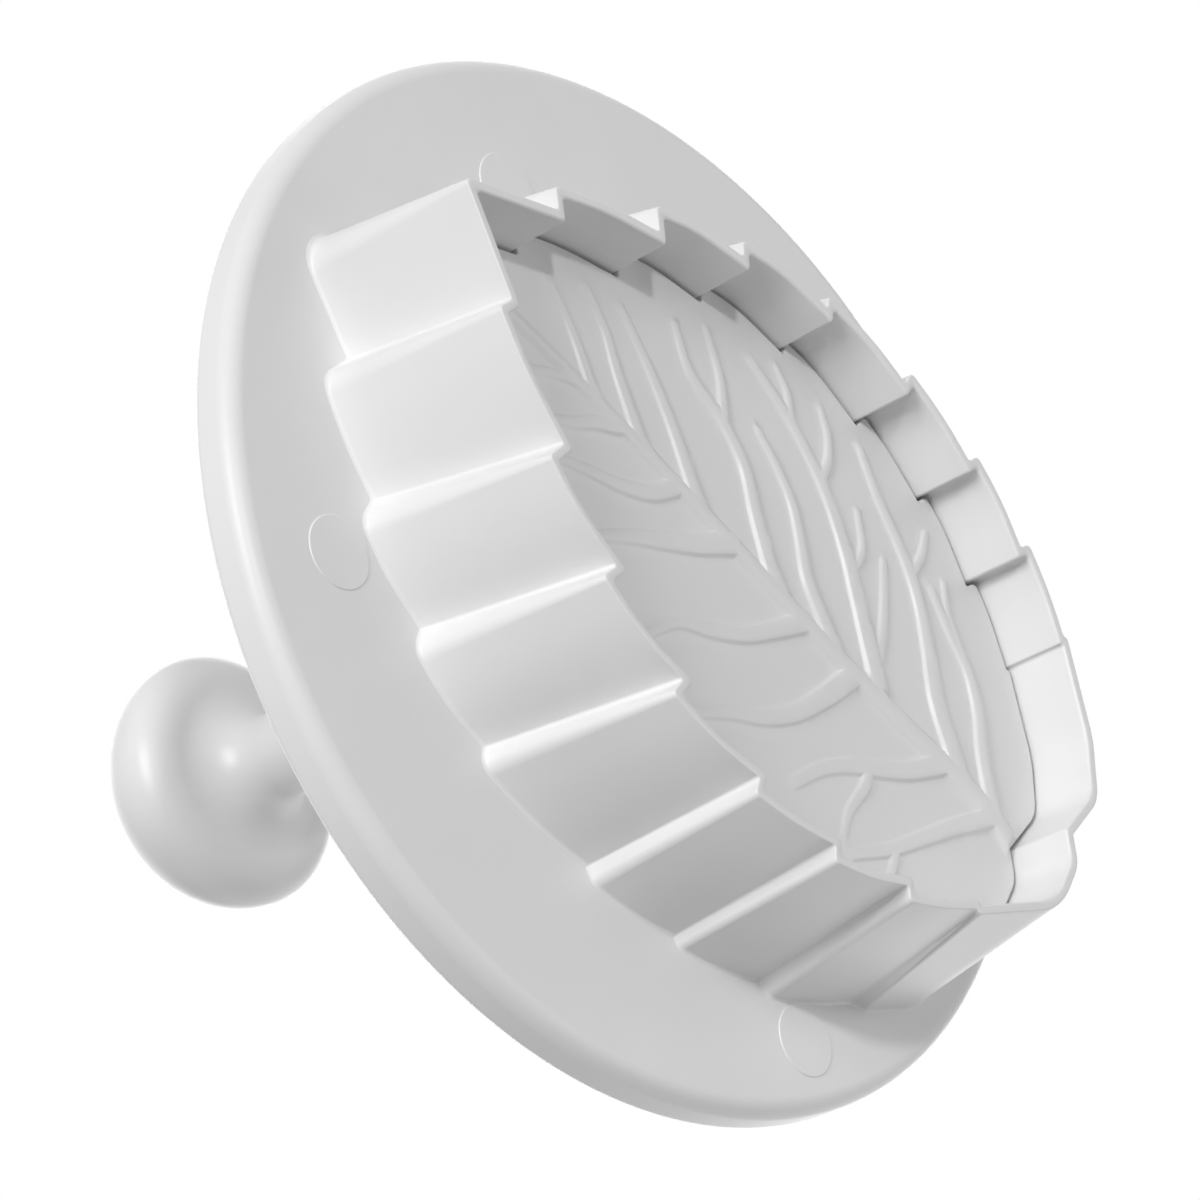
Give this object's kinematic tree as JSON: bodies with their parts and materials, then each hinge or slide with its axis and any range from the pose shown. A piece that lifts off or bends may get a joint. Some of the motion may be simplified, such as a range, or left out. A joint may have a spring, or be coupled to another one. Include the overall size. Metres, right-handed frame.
{
  "type": "plunger cutter",
  "caption": "Leaf-shaped plunger cutter: serrated cutting wall on a round flange, veined embossing plate inside it, push knob on a shaft, and return spring.",
  "frame": {"origin": "on the plane of the cutting edge, where the plunger axis meets it; the flange is centred on this axis", "axes": "+Z along the plunger axis from the cutting edge to the knob, +Y towards the tip of the leaf, +X to the side to which the leaf stands off the plunger axis"},
  "size_m": [0.096, 0.096, 0.081],
  "materials": {
    "body_plastic": "moulded white plastic, satin gloss",
    "plate_plastic": "moulded white plastic, satin gloss, with raised veins",
    "spring_steel": "drawn stainless steel wire",
    "knob_plastic": "moulded white plastic, satin gloss"
  },
  "bodies": {
    "cutter": {"cutter_body": "body_plastic", "return_spring": "spring_steel"},
    "plunger": {"embossing_plate": "plate_plastic", "knob": "knob_plastic"}
  },
  "joints": [
    {"name": "plunger_slide", "type": "slide", "parent": "cutter", "child": "plunger", "axis": [0, 0, -1], "range_m": [0, 0.007], "stiffness_N_per_m": 980, "springref_m": -0.005, "deforming": ["return_spring"]}
  ]
}
